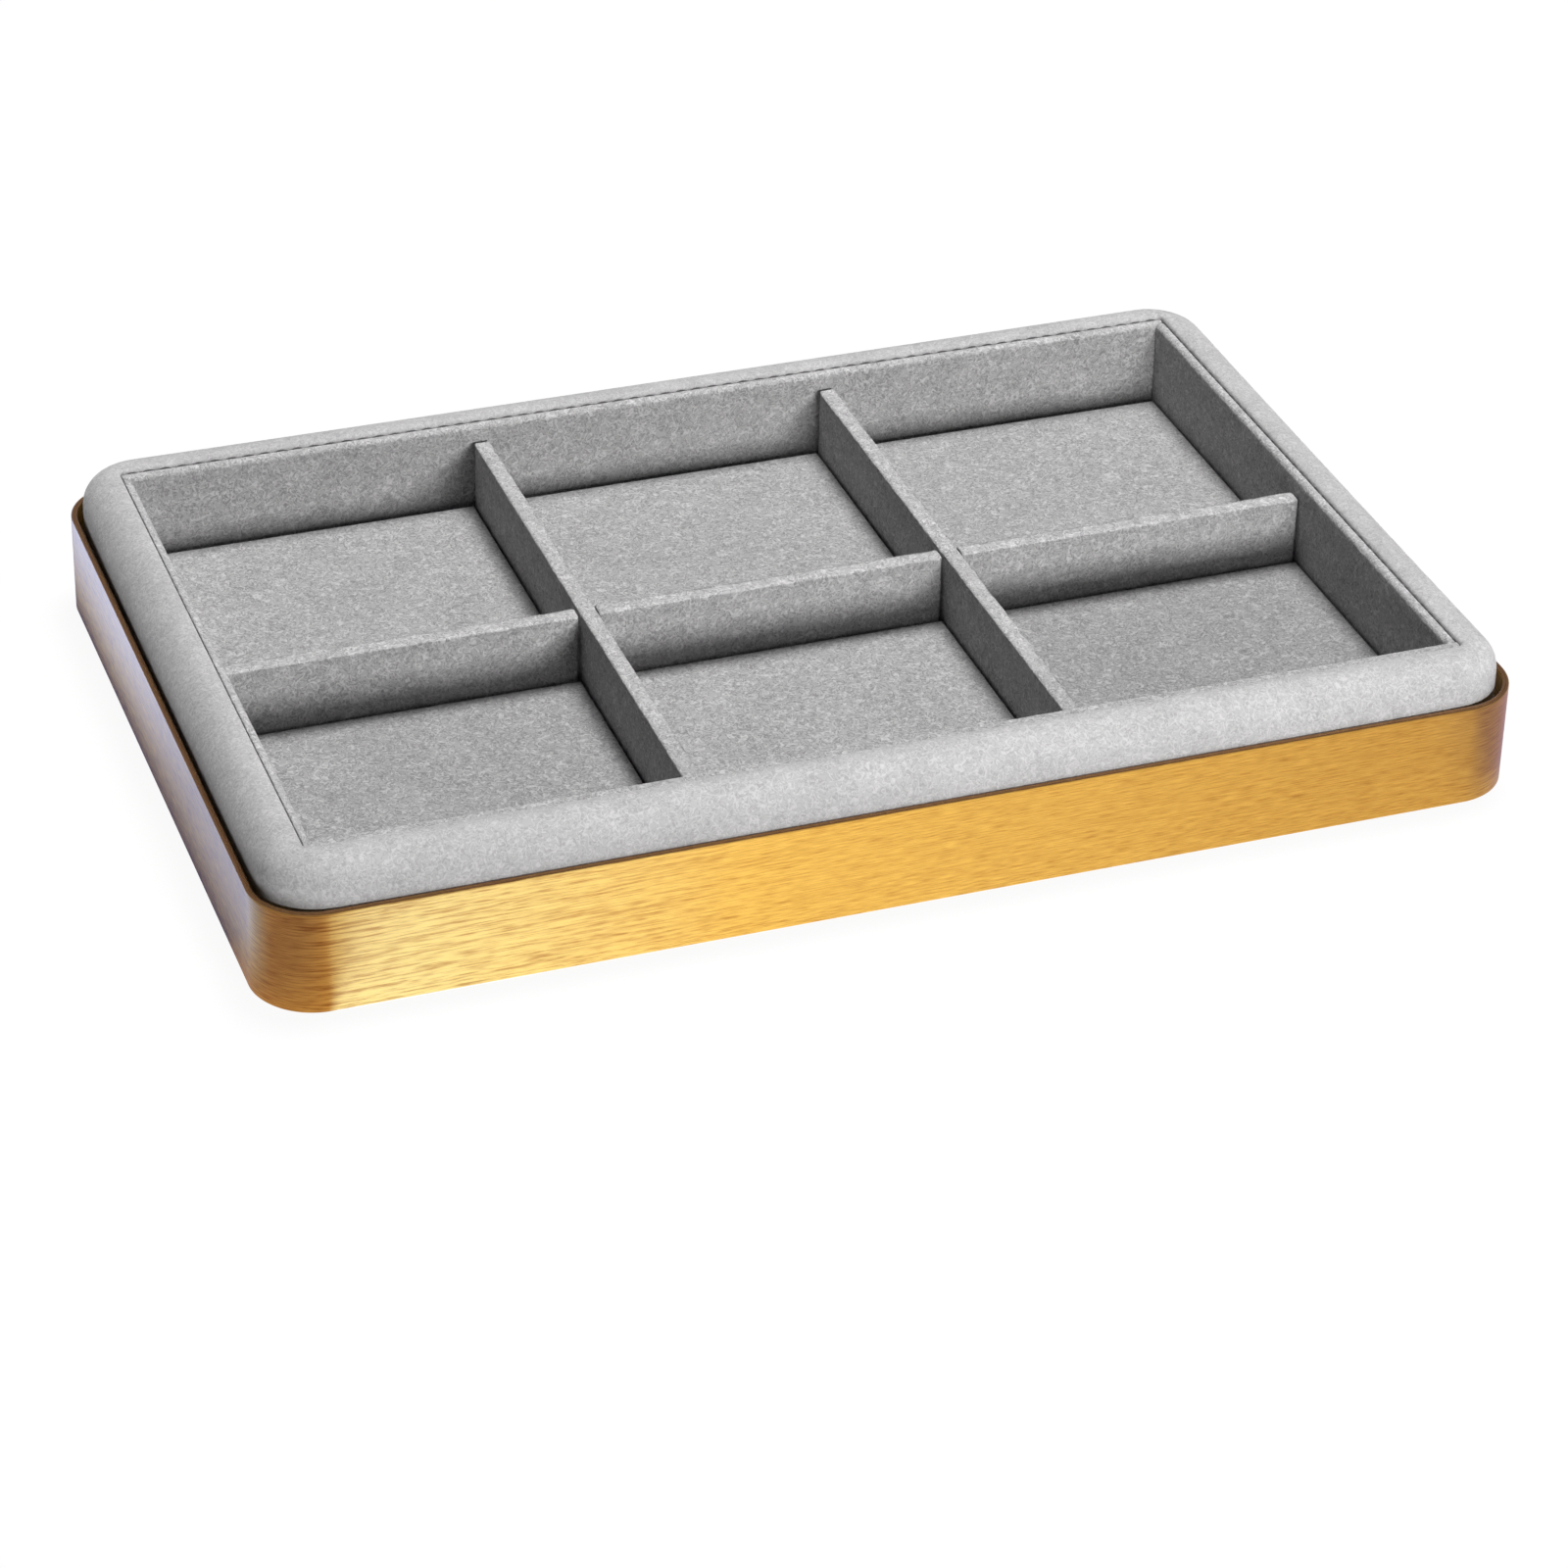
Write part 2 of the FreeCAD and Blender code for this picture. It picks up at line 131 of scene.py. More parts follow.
class Shader:
    """A node material, or a world's nodes, that are being written."""

    def __init__(self, name: str, world: bool = False) -> None:
        """Start an empty material or world.

        Args:
            name: Its name.
            world: Whether it is a world.
        """
        self.material = (bpy.data.worlds if world else bpy.data.materials).new(name)
        self.material.use_nodes = True
        self.ending = "ShaderNodeOutputWorld" if world else "ShaderNodeOutputMaterial"
        self.tree = self.material.node_tree
        self.tree.nodes.clear()

    def node(self, kind: str, settings: dict[str, Any], inputs: dict[Any, Any],
             output: Any = 0) -> Sock:
        """Add a node of any type.

        Args:
            kind: The node's type.
            settings: Its settings, set before the inputs.
            inputs: Values or links for its sockets, by name or number.
            output: Name or number of the wanted output.

        Returns:
            The wanted output.
        """
        made = self.tree.nodes.new(kind)
        for key, value in settings.items():
            setattr(made, key, value)
        for key, value in inputs.items():
            if isinstance(value, Sock):
                self.tree.links.new(value.link, made.inputs[key])
            else:
                made.inputs[key].default_value = value
        return Sock(self, made.outputs[output])

    def coords(self, stretch: Sequence[float] = (1.0, 1.0, 1.0)) -> Sock:
        """Return the object's own coordinates in metres, multiplied axis by axis.

        Args:
            stretch: Factor for each axis.

        Returns:
            The stretched vector.
        """
        place = self.node("ShaderNodeTexCoord", {}, {}, "Object")
        inputs = {0: place, 1: tuple(stretch)}
        return self.node("ShaderNodeVectorMath", {"operation": "MULTIPLY"}, inputs)

    def part(self, vector: Sock, axis: int) -> Sock:
        """Return one coordinate of a vector."""
        return self.node("ShaderNodeSeparateXYZ", {}, {0: vector}, axis)

    def ray(self, kind: str) -> Sock:
        """Return 1 for rays of the kind that is named, otherwise 0."""
        return self.node("ShaderNodeLightPath", {}, {}, kind)

    def grain(self, vector: Sock, size: float, detail: float = 2.0, swirl: float = 0.0) -> Sock:
        """Return noise from 0 to 1 whose marks are about size metres across.

        Args:
            vector: Coordinates.
            size: Size of a mark.
            detail: Number of finer layers.
            swirl: How far the marks are bent.

        Returns:
            The noise value.
        """
        inputs = {"Vector": vector, "Scale": 1.0 / size, "Detail": detail, "Distortion": swirl}
        return self.node("ShaderNodeTexNoise", {"noise_dimensions": "3D"}, inputs)

    def blend(self, factor: Any, first: Any, second: Any) -> Sock:
        """Return a colour between two colours.

        Args:
            factor: 0 gives the first, 1 the second.
            first: First colour or link.
            second: Second colour or link.

        Returns:
            The mixed colour.
        """
        inputs = {0: factor, 6: first, 7: second}
        return self.node("ShaderNodeMix", {"data_type": "RGBA"}, inputs, 2)

    def bump(self, height: Sock, depth: float, strength: float = 1.0) -> Sock:
        """Return a normal raised by a height map.

        Args:
            height: Height from 0 to 1.
            depth: What a height of 1 stands for, in metres.
            strength: How much of it is used.

        Returns:
            The normal.
        """
        inputs = {"Strength": strength, "Distance": depth, "Height": height}
        return self.node("ShaderNodeBump", {}, inputs, "Normal")

    def finish(self, inputs: dict[str, Any]) -> bpy.types.Material:
        """Close the material with a Principled shader.

        Args:
            inputs: Values or links for its sockets.

        Returns:
            The finished material.
        """
        surface = self.node("ShaderNodeBsdfPrincipled", {}, inputs)
        self.send(surface)
        return self.material

    def send(self, surface: Sock) -> None:
        """Send a shader to the output."""
        target = self.tree.nodes.new(self.ending)
        self.tree.links.new(surface.link, target.inputs["Surface"])


class PadShade(Enum):
    """Painted shade on a floor pad: a factor on its microfibre's colours that makes the floors
    darker than the walls, and darker still on the front left and front right pads.
    """

    ALONG = 0.90
    SHADED_FRONT_LEFT = 0.82
    SHADED_FRONT_RIGHT = 0.76


@dataclass(frozen=True)
class Microfibre:
    """Grey suede-like microfibre with a short, curled nap."""

    name: str
    dark: Colour
    light: Colour
    contrast: float = 1.0
    curl: float = 2.1 * MM
    cloud: float = 16.0 * MM
    nap_depth: float = 0.2 * MM
    swirl: float = 1.2
    raised_edge: float = 12.0
    sunken_edge: float = 11.0
    sunken_size: float = 0.8
    sunken_shift: tuple[float, float, float] = (0.31, 0.17, 0.23)
    cloud_share: float = 0.3

    def _strokes(self, s: Shader, place: Sock, size: float, sharp: float) -> Sock:
        """Return curled strokes, 1 on a fibre and 0 beside it.

        Args:
            s: The material.
            place: Coordinates.
            size: Size of a curl.
            sharp: How thin the strokes are.

        Returns:
            The strokes.
        """
        return (1.0 - abs(s.grain(place, size, 0.0, self.swirl) - 0.5) * sharp).clamp()

    def painted_shade_copy(self, nap: PadShade) -> "Microfibre":
        """Return a darker copy of the cloth: painted shade, its colours multiplied by a factor.

        Args:
            nap: The painted shade that the colours are multiplied by.

        Returns:
            The finish.
        """
        dark, light = (
            tuple(part * nap.value for part in tone[:3]) + (1.0,)
            for tone in (self.dark, self.light))
        return replace(self, name=f"{self.name}_{nap.name.lower()}", dark=dark, light=light)

    def make(self) -> bpy.types.Material:
        """Make the material: raised and sunken curls, soft clouds of brushed nap, and sheen.

        Returns:
            The material.
        """
        s = Shader(self.name)
        place = s.coords()
        raised = self._strokes(s, place, self.curl, self.raised_edge)
        moved = {0: place, 1: self.sunken_shift}
        shift = s.node("ShaderNodeVectorMath", {"operation": "ADD"}, moved)
        sunken = self._strokes(s, shift, self.curl * self.sunken_size, self.sunken_edge)
        clouds = s.grain(place, self.cloud, 3.0, 0.6)
        relief = raised * 0.5 - sunken * 0.4
        tone = (0.5 + relief * self.contrast + (clouds - 0.5) * self.cloud_share).clamp()
        colour = s.blend(tone, self.dark, self.light)
        normal = s.bump(relief, self.nap_depth, 0.9 * self.contrast)
        return s.finish({
            "Base Color": colour, "Roughness": 0.92, "Normal": normal,
            "Specular IOR Level": 0.1, "Sheen Weight": 0.08, "Sheen Roughness": 0.45,
            "Sheen Tint": (0.95, 0.95, 1.0, 1.0),
        })


@dataclass(frozen=True)
class BrushedGold:
    """Gold coloured metal, brushed along its length under a clear lacquer."""

    name: str
    colour: Colour
    shade: Colour
    # Painted shade: a dark brown put on the faces that look up, the lip's top among them; the band
    # is one gold metal.
    lip: Colour
    fine: tuple[float, float] = (0.24 * MM, 5.0 * MM)
    coarse: tuple[float, float] = (0.46 * MM, 10.0 * MM)
    # Where the coarse lines are painted stronger as highlight streaks: the left end of the front
    # face.
    glint_end: tuple[float, float] = (-0.02, -0.1125)
    glint_run: float = 0.11
    glint_edge: float = 0.002
    least_streaks: float = 0.3
    middle_tone: float = 0.62
    fine_gain: float = 1.9
    coarse_gain: float = 3.4
    relief: float = 0.12 * MM

    def _lines(self, s: Shader, size: tuple[float, float]) -> Sock:
        """Return brush lines from 0 to 1.

        Args:
            s: The material.
            size: Thickness and length of a line.

        Returns:
            The lines.
        """
        flat = size[0] / size[1]
        return s.grain(s.coords((flat, flat, 1.0)), size[0], 2.0, 0.0)

    def _painted_glint_streaks(self, s: Shader) -> Sock:
        """Return how strongly the coarse brush lines show: painted highlight streaks, strongest at
        the left end of the front, over weaker brushing everywhere.

        Args:
            s: The material.

        Returns:
            The strength, 1 where the painted highlight streaks are strongest.
        """
        left = s.part(s.coords(), 0).rise(self.glint_end[0], -self.glint_run)
        front = s.part(s.coords(), 1).rise(self.glint_end[1], -self.glint_edge)
        return self.least_streaks + left * front * (1.0 - self.least_streaks)

    def make(self) -> bpy.types.Material:
        """Make the material: brush lines in colour, gloss and relief, painted highlight streaks at
        the left end of the front, and a smoother lip with painted shade.

        Returns:
            The material.
        """
        s = Shader(self.name)
        fine = self._lines(s, self.fine)
        coarse = self._lines(s, self.coarse)
        lines = fine * 0.5 + coarse * 0.5
        tone = self.middle_tone + (fine - 0.5) * self.fine_gain
        # Painted highlight: the coarse lines are stronger at the left end of the front.
        tone = (tone + (coarse - 0.5) * self._painted_glint_streaks(s) * self.coarse_gain).clamp()
        facing = s.node("ShaderNodeNewGeometry", {}, {}, "Normal")
        # Painted shade: faces that look up take the dark brown lip colour in place of the gold.
        lip = (s.part(facing, 2) * 2.4 - 0.9).clamp()
        brushed = s.blend(tone, self.shade, self.colour)
        colour = s.blend(lip, brushed, self.lip)
        normal = s.bump(lines, self.relief, 0.5)
        rough = 0.34 + tone * 0.12 - lip * 0.16
        return s.finish({
            "Base Color": colour, "Metallic": 1.0, "Roughness": rough, "Normal": normal,
            "Anisotropic": 0.92, "Anisotropic Rotation": 0.25,
            "Coat Weight": 0.7, "Coat Roughness": 0.25, "Coat IOR": 1.5,
        })


class BoardKind(Enum):
    """Sheet materials inside the tray: colour of the mass, colour of its flecks, fleck size."""

    FIBREBOARD = ((0.30, 0.19, 0.10, 1.0), (0.42, 0.29, 0.17, 1.0), 1.1 * MM)
    GREYBOARD = ((0.17, 0.165, 0.155, 1.0), (0.27, 0.26, 0.245, 1.0), 1.8 * MM)
    HARDBOARD = ((0.10, 0.055, 0.028, 1.0), (0.19, 0.11, 0.06, 1.0), 0.8 * MM)
    # Painted shade: a near-black board for the insert panel, seen only in the narrow gaps beside
    # the pads, so that they read as dark shade.
    LINED = ((0.030, 0.029, 0.030, 1.0), (0.055, 0.053, 0.054, 1.0), 1.4 * MM)


@dataclass(frozen=True)
class Board:
    """Pressed board with flecks of fibre."""

    name: str
    kind: BoardKind

    def make(self) -> bpy.types.Material:
        """Make the material: flecks in two sizes and a slightly rough face.

        Returns:
            The material.
        """
        mass, fleck, size = self.kind.value
        s = Shader(self.name)
        place = s.coords()
        flecks = s.grain(place, size, 4.0, 0.8)
        drift = s.grain(place, size * 14.0, 2.0)
        tone = ((flecks - 0.35) * 2.6 + (drift - 0.5) * 0.5).clamp()
        normal = s.bump(flecks, 0.08 * MM, 0.5)
        return s.finish({
            "Base Color": s.blend(tone, mass, fleck), "Roughness": 0.72 + flecks * 0.2,
            "Normal": normal, "Specular IOR Level": 0.3,
        })


@dataclass(frozen=True)
class RailWood:
    """Planed softwood with its grain along X or Y."""

    name: str
    along_x: bool
    early: Colour = (0.62, 0.42, 0.22, 1.0)
    late: Colour = (0.42, 0.24, 0.10, 1.0)
    drawn_out: float = 0.06

    def make(self) -> bpy.types.Material:
        """Make the material: stretched growth lines and fine pores.

        Returns:
            The material.
        """
        s = Shader(self.name)
        stretch = (self.drawn_out, 1.0, 1.0) if self.along_x else (1.0, self.drawn_out, 1.0)
        lines = s.grain(s.coords(stretch), 3.2 * MM, 3.0, 1.2)
        pores = s.grain(s.coords(stretch), 0.5 * MM, 2.0)
        tone = ((lines - 0.3) * 2.2 + (pores - 0.5) * 0.4).clamp()
        return s.finish({
            "Base Color": s.blend(tone, self.early, self.late), "Roughness": 0.55 + pores * 0.2,
            "Normal": s.bump(pores, 0.05 * MM, 0.6),
        })


@dataclass(frozen=True)
class SoftCore:
    """Foam or felt: a soft mass with cells or fibres."""

    name: str
    mass: Colour
    fleck: Colour
    cell: float
    depth: float

    def make(self) -> bpy.types.Material:
        """Make the material: cells in colour and relief.

        Returns:
            The material.
        """
        s = Shader(self.name)
        place = s.coords()
        cells = s.grain(place, self.cell, 3.0, 1.6)
        strands = (1.0 - abs(cells - 0.5) * 7.0).clamp()
        drift = s.grain(place, self.cell * 20.0, 2.0)
        tone = (strands * 0.7 + (drift - 0.4) * 0.6).clamp()
        return s.finish({
            "Base Color": s.blend(tone, self.mass, self.fleck), "Roughness": 0.95,
            "Normal": s.bump(strands, self.depth, 0.9), "Specular IOR Level": 0.1,
            "Sheen Weight": 0.15, "Sheen Roughness": 0.5,
        })


@dataclass(frozen=True)
class Thread:
    """Sewing thread, a little glossier than the microfibre."""

    name: str
    colour: Colour
    light: Colour

    def make(self) -> bpy.types.Material:
        """Make the material: fine twist marks across the thread.

        Returns:
            The material.
        """
        s = Shader(self.name)
        twist = s.grain(s.coords(), 0.35 * MM, 1.0)
        return s.finish({
            "Base Color": s.blend(twist, self.colour, self.light), "Roughness": 0.6 + twist * 0.2,
            "Normal": s.bump(twist, 0.06 * MM, 0.8), "Specular IOR Level": 0.3,
        })


MICROFIBRE = Microfibre("microfibre", (0.22, 0.218, 0.219, 1.0), (0.58, 0.574, 0.577, 1.0))
STRETCHED = Microfibre("microfibre_stretched", MICROFIBRE.dark, MICROFIBRE.light, 0.55, 2.0 * MM,
                       nap_depth=0.03 * MM)
# The last colour is painted shade for the faces that look up, the lip's top among them.
GOLD = BrushedGold("brushed_gold", (0.98, 0.61, 0.13, 1.0), (0.42, 0.18, 0.015, 1.0),
                   (0.36, 0.16, 0.05, 1.0))
FIBREBOARD = Board("fibreboard", BoardKind.FIBREBOARD)
GREYBOARD = Board("greyboard", BoardKind.GREYBOARD)
HARDBOARD = Board("hardboard", BoardKind.HARDBOARD)
GAP_SHADE_BOARD = Board("lined_board", BoardKind.LINED)
RAIL_X = RailWood("rail_wood_long", True)
RAIL_Y = RailWood("rail_wood_short", False)
FOAM = SoftCore("foam", (0.62, 0.60, 0.52, 1.0), (0.80, 0.78, 0.70, 1.0), 0.9 * MM, 0.4 * MM)
FELT = SoftCore("felt", (0.006, 0.006, 0.007, 1.0), (0.022, 0.022, 0.024, 1.0), 0.8 * MM, 0.2 * MM)
THREAD = Thread("seam_thread", (0.05, 0.049, 0.05, 1.0), (0.13, 0.128, 0.13, 1.0))


class Dresser:
    """Makes each finish once and puts it on pieces."""

    def __init__(self) -> None:
        """Start with no finish made."""
        self.made: dict[str, bpy.types.Material] = {}

    def dress(self, piece: bpy.types.Object, finish: Any, slot: str) -> None:
        """Give a piece its finish.

        Args:
            piece: The piece.
            finish: Its finish.
            slot: Not used.
        """
        if finish.name not in self.made:
            self.made[finish.name] = finish.make()
        piece.data.materials.clear()
        piece.data.materials.append(self.made[finish.name])


@dataclass(frozen=True)
class Steps:
    """How finely a swept form is divided: steps on each side and in each corner."""

    along_x: int
    along_y: int
    corner: int

    @property
    def total(self) -> int:
        """Number of points on one ring."""
        return 2 * self.along_x + 2 * self.along_y + 4 * self.corner


@dataclass(frozen=True)
class Ring:
    """One closed outline of a form: a rectangle with rounded corners at a height."""

    half_x: float
    half_y: float
    radius: float
    z: float

    def points(self, steps: Steps) -> list[Vector]:
        """Return the outline's points, anticlockwise from the front left corner.

        Args:
            steps: How finely it is divided.

        Returns:
            The points, as many for every ring with the same steps.
        """
        r = self.radius
        cx, cy = self.half_x - r, self.half_y - r
        centres = ((-cx, -cy, 180), (cx, -cy, 270), (cx, cy, 0), (-cx, cy, 90))
        found: list[Vector] = []
        for k, (x, y, start) in enumerate(centres):
            for step in range(steps.corner + 1):
                turn = math.radians(start + 90 * step / steps.corner)
                found.append(Vector((x + r * math.cos(turn), y + r * math.sin(turn), self.z)))
            following = centres[(k + 1) % 4]
            turn = math.radians(start + 90)
            shift = Vector((r * math.cos(turn), r * math.sin(turn), self.z))
            count = steps.along_x if k % 2 == 0 else steps.along_y
            for step in range(1, count):
                share = step / count
                middle = Vector((x, y, 0)).lerp(Vector((following[0], following[1], 0)), share)
                found.append(middle + shift)
        return found


def new_object(name: str, points: Sequence[Vector],
               faces: Sequence[Sequence[int]]) -> bpy.types.Object:
    """Make a smooth mesh object.

    Args:
        name: Its name.
        points: Its points in metres.
        faces: Its faces as point numbers.

    Returns:
        The object, linked to the scene.
    """
    mesh = bpy.data.meshes.new(name)
    mesh.from_pydata([tuple(p) for p in points], [], [tuple(f) for f in faces])
    mesh.validate()
    mesh.update()
    mesh.shade_smooth()
    made = bpy.data.objects.new(name, mesh)
    bpy.context.scene.collection.objects.link(made)
    return made


def sweep(name: str, rings: Sequence[Ring], steps: Steps, closed: bool) -> bpy.types.Object:
    """Make a form that follows a row of rings.

    Args:
        name: Its name.
        rings: The rings, in the order that gives outward faces: inner top, over, outer, under.
        steps: How finely it is divided.
        closed: Whether the last ring joins the first.

    Returns:
        The object.
    """
    points: list[Vector] = []
    for ring in rings:
        points += ring.points(steps)
    n = steps.total
    faces = []
    last = len(rings) if closed else len(rings) - 1
    for k in range(last):
        a, b = k * n, (k + 1) % len(rings) * n
        for j in range(n):
            i = (j + 1) % n
            faces.append((a + j, b + j, b + i, a + i))
    return new_object(name, points, faces)


def slab(name: str, outline: Ring, height: float, edge: float, steps: Steps) -> bpy.types.Object:
    """Make a flat plate with rounded corners and a small soft edge.

    Args:
        name: Its name.
        outline: Its outline at the foot.
        height: Its thickness.
        edge: Size of the soft edge.
        steps: How finely it is divided.

    Returns:
        The object.
    """
    def level(inset: float, z: float) -> list[Vector]:
        """Return the points of one level of the plate's edge.

        Args:
            inset: Distance from the outline.
            z: Height above the foot.

        Returns:
            The points.
        """
        radius = max(outline.radius - inset, SHARPEST)
        ring = Ring(outline.half_x - inset, outline.half_y - inset, radius, outline.z + z)
        return ring.points(steps)

    levels = [level(edge, 0.0), level(0.0, edge), level(0.0, height - edge), level(edge, height)]
    points = [point for row in levels for point in row]
    n = steps.total
    faces: list[tuple[int, ...]] = []
    for k in range(len(levels) - 1):
        for j in range(n):
            i = (j + 1) % n
            faces.append((k * n + j, k * n + i, (k + 1) * n + i, (k + 1) * n + j))
    faces.append(tuple(reversed(range(n))))
    faces.append(tuple(range((len(levels) - 1) * n, len(levels) * n)))
    return new_object(name, points, faces)


@dataclass(frozen=True)
class Edges:
    """Edge radii of a wrapped board, at the low and at the high side of each axis."""

    low: tuple[float, float, float]
    high: tuple[float, float, float]

    def lines(self, axis: int, low: float, high: float, step: float,
              rounds: int = 3) -> list[float]:
        """Return grid places on one axis, close together where the edges are rounded.

        Args:
            axis: 0, 1 or 2.
            low: Lowest place.
            high: Highest place.
            step: Wanted spacing between the edges.
            rounds: Steps in half an edge.

        Returns:
            The places, from low to high.
        """
        share = [math.tan(math.pi / 4 * k / rounds) for k in range(rounds + 1)]
        first, last = low + self.low[axis], high - self.high[axis]
        count = max(1, round((last - first) / step))
        middle = [first + (last - first) * k / count for k in range(1, count)]
        foot = [first - self.low[axis] * s for s in reversed(share)]
        return foot + middle + [last + self.high[axis] * s for s in share]


def wrapped_board(name: str, low: Vector, high: Vector, edges: Edges, step: float,
                  uneven: float) -> bpy.types.Object:
    """Make a board wrapped in cloth: a box with soft edges and a slightly uneven face.

    Args:
        name: Its name.
        low: Lowest corner.
        high: Highest corner.
        edges: Radii of its edges.
        step: Spacing of its mesh.
        uneven: How far the cloth rises and sinks.

    Returns:
        The object.
    """
    lines = [edges.lines(k, low[k], high[k], step) for k in range(3)]
    last = [len(row) - 1 for row in lines]
    core_low = [low[k] + edges.low[k] for k in range(3)]
    core_high = [high[k] - edges.high[k] for k in range(3)]
    numbers: dict[tuple[int, int, int], int] = {}
    points: list[Vector] = []

    def number(i: int, j: int, k: int) -> int:
        """Return the number of a point of the grid, made when it is first asked for.

        Args:
            i: Its place along X.
            j: Its place along Y.
            k: Its place along Z.

        Returns:
            The number.
        """
        key = (i, j, k)
        if key not in numbers:
            raw = Vector((lines[0][i], lines[1][j], lines[2][k]))
            core = Vector(min(max(raw[a], core_low[a]), core_high[a]) for a in range(3))
            reach = Vector(edges.low[a] if raw[a] < core[a] else edges.high[a] for a in range(3))
            way = Vector((raw[a] - core[a]) / reach[a] for a in range(3)).normalized()
            swell = noise.noise(raw / BROAD_WAVE) * 0.6 + noise.noise(raw / FINE_WAVE) * 0.4
            points.append(core + way * reach + way * uneven * (swell - 1.0))
            numbers[key] = len(points) - 1
        return numbers[key]

    faces = []
    for axis in range(3):
        b, c = (axis + 1) % 3, (axis + 2) % 3
        for end in (0, last[axis]):
            for u in range(last[b]):
                for v in range(last[c]):
                    corners = []
                    for du, dv in ((0, 0), (1, 0), (1, 1), (0, 1)):
                        index = [0, 0, 0]
                        index[axis], index[b], index[c] = end, u + du, v + dv
                        corners.append(number(*index))
                    faces.append(corners if end else corners[::-1])
    return new_object(name, points, faces)


@dataclass
class MetalFrame:
    """The gold band, the board on its flange and the felt under it."""

    dresser: Dresser
    wall: float = 1.8 * MM
    corner_radius: float = 17.5 * MM
    flange: float = 9.0 * MM
    flange_thickness: float = 1.5 * MM
    flange_edge: float = 0.3 * MM
    flange_rise: float = 0.2 * MM
    root: float = 0.8 * MM
    foot_edge: float = 0.25 * MM
    lip_edge: float = 0.45 * MM
    lip_steps: int = 4
    groove: float = 0.16 * MM
    felt_corner: float = 6.5 * MM
    felt_edge: float = 0.35 * MM

    def build(self) -> None:
        """Build and dress the frame's pieces."""
        self._band()
        self._base()

    def _roll(self, centre: float, top: float, start: float) -> list[tuple[float, float]]:
        """Return one rolled edge of the lip.

        Args:
            centre: Inset of the roll's centre.
            top: Height of the lip.
            start: Angle in degrees at which the roll starts.

        Returns:
            Pairs of inset and height.
        """
        e, found = self.lip_edge, []
        for k in range(self.lip_steps + 1):
            turn = math.radians(start + 90 * k / self.lip_steps)
            found.append((centre + e * math.cos(turn), top - e + e * math.sin(turn)))
        return found

    def _band(self) -> None:
        """Make the band by sweeping its section, with a rolled lip, round the tray."""
        low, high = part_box("metal_band")
        top, foot, w = high.z, low.z, self.wall
        reach, shelf = w + self.flange, foot + self.flange_thickness
        section = self._roll(w - self.lip_edge, top, 0)
        section += [(w * 0.56, top), (w * 0.5, top - self.groove), (w * 0.44, top)]
        section += self._roll(self.lip_edge, top, 90)
        section += [(0.0, top - 1.2 * MM), (0.0, foot + 1.0 * MM), (0.0, foot + self.foot_edge)]
        section += [(self.foot_edge, foot), (1.0 * MM, foot), (reach - self.flange_edge, foot)]
        section += [(reach, foot + self.flange_rise), (reach, shelf - self.flange_rise)]
        section += [(reach - self.flange_edge, shelf), (w + self.root, shelf)]
        section += [(w, shelf + self.root), (w, top - 1.4 * MM)]
        rings = [Ring(high.x - d, high.y - d, self.corner_radius - d, z) for d, z in section]
        band = sweep("band_shell", rings, Steps(40, 26, 28), True)
        crease_by_angle(band, 35.0)
        self.dresser.dress(band, GOLD, "gold_metal")
        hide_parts("metal_band")
        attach(band, "frame")
        log.info("band_shell: %d points", len(band.data.vertices))

    def _base(self) -> None:
        """Dress the base board and make the felt."""
        self.dresser.dress(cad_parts["base_board"], FIBREBOARD, "fibreboard")
        low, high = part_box("base_felt")
        outline = Ring(high.x, high.y, self.felt_corner, low.z)
        felt = slab("felt_sheet", outline, high.z - low.z, self.felt_edge, Steps(30, 20, 8))
        crease_by_angle(felt, 50.0)
        self.dresser.dress(felt, FELT, "felt")
        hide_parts("base_felt")
        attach(felt, "frame")
        log.info("felt_sheet and base_board dressed")


def crease_by_angle(piece: bpy.types.Object, degrees: float) -> None:
    """Keep a piece's edges sharp where faces meet at more than an angle."""
    piece.data.set_sharp_from_angle(angle=math.radians(degrees))


